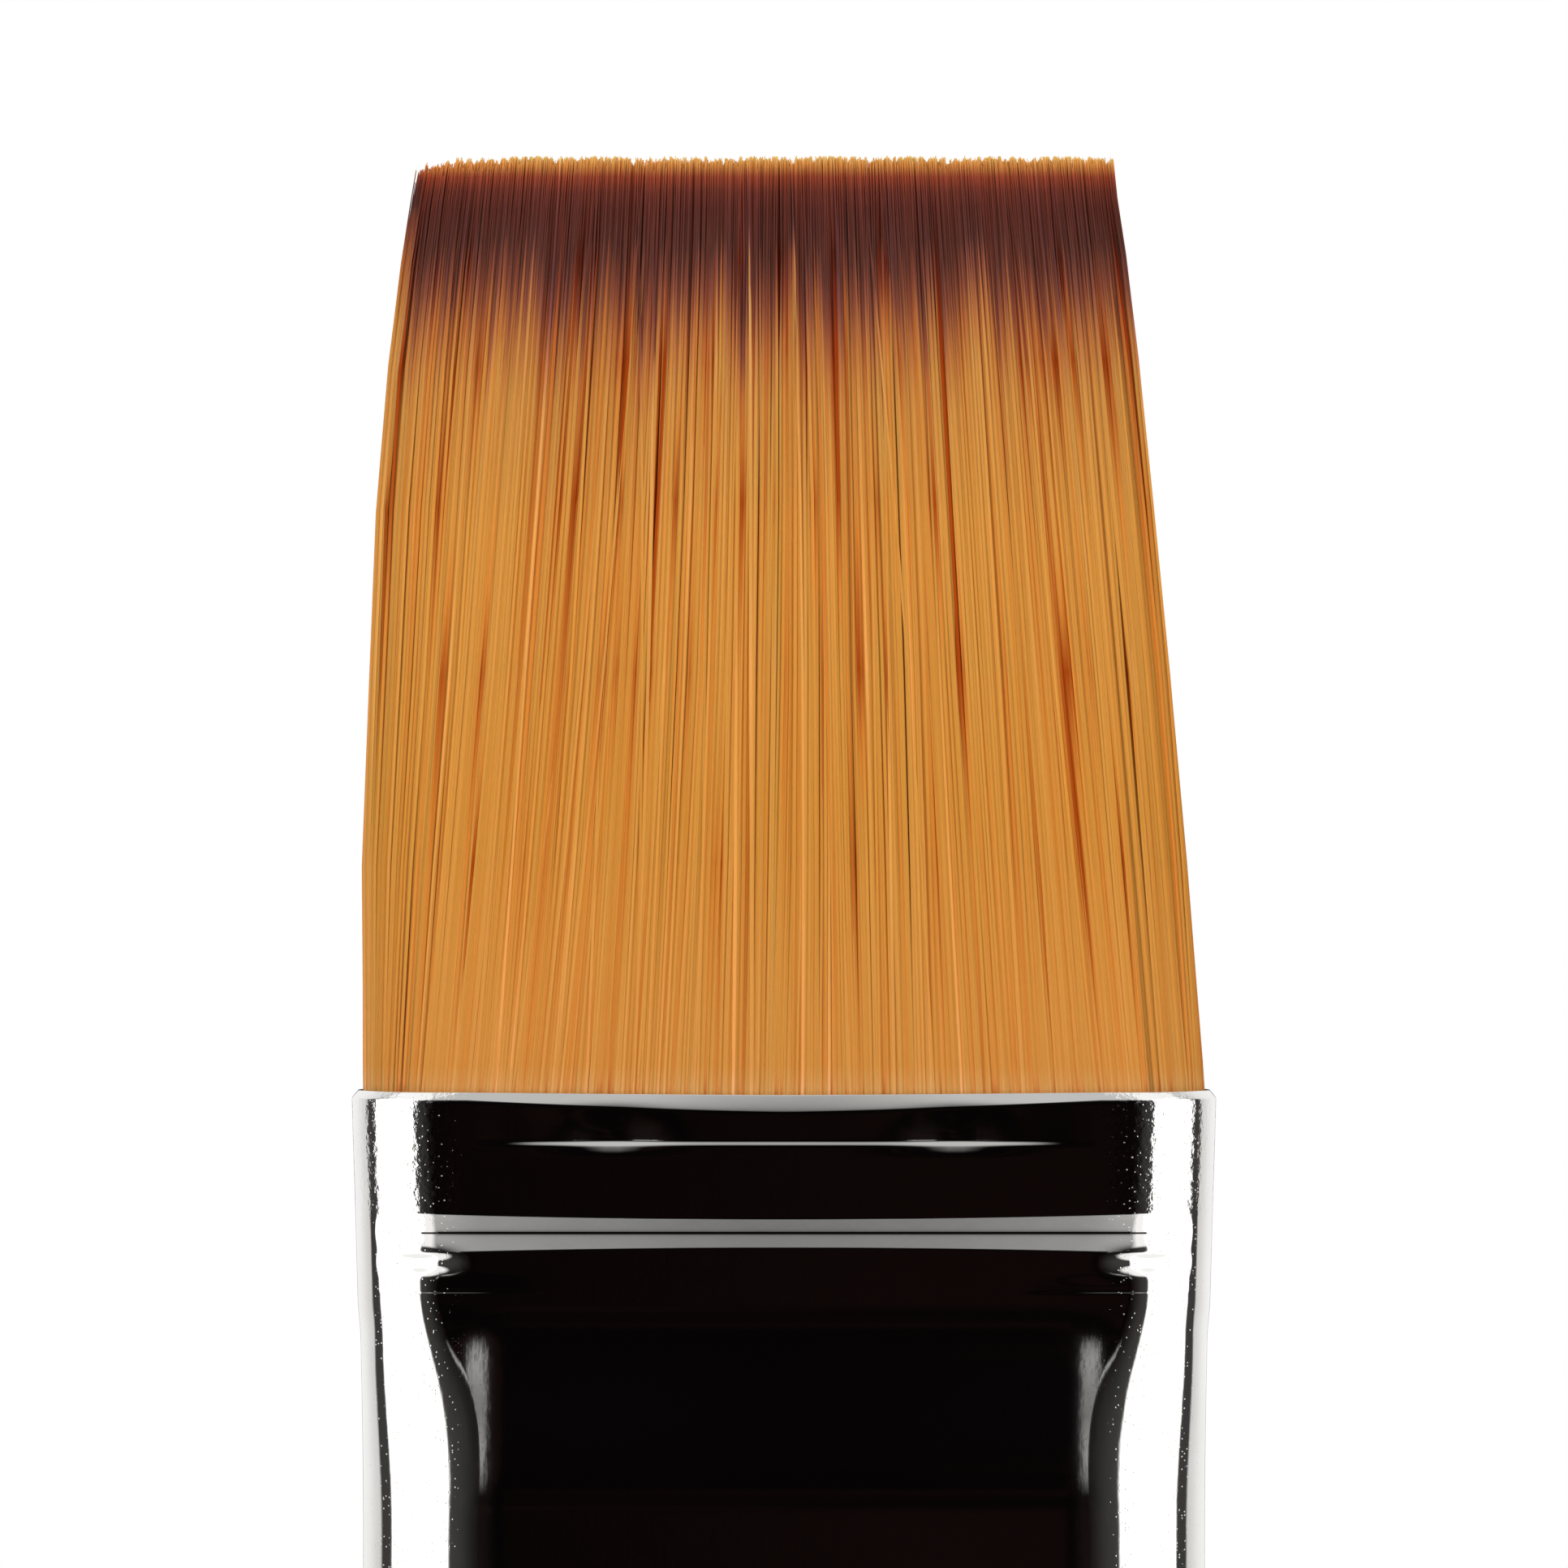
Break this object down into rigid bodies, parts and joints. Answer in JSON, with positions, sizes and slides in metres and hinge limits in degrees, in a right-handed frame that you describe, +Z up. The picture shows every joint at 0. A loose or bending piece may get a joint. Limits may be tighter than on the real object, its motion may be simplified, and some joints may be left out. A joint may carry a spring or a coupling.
{
  "type": "flat paint brush",
  "caption": "Flat wash brush: golden synthetic filaments held in a flattened metal ferrule that is crimped onto a turned hardwood handle.",
  "frame": {"origin": "centre of the footprint, at the rounded lower end of the handle", "axes": "+Z up along the brush from the handle's end to the filament tips, +X across the width of the tuft, broad faces towards -Y (front) and +Y (back)"},
  "size_m": [0.026, 0.0148, 0.2022],
  "materials": {
    "filament": "drawn synthetic filament, golden amber, dyed dark red-brown near the tips",
    "nickel_plate": "bright nickel plate on seamless brass tube",
    "lacquered_wood": "dark stained hardwood under clear gloss lacquer",
    "resin": "cured epoxy",
    "thread": "twisted tie thread",
    "glue": "cured wood glue"
  },
  "bodies": {
    "root": {"handle": "lacquered_wood", "ferrule": "nickel_plate", "tenon_glue": "glue", "resin_plug": "resin", "tie_thread": "thread", "bristles_front": "filament", "bristles_mid_front": "filament", "bristles_mid_back": "filament", "bristles_back": "filament"}
  },
  "joints": []
}
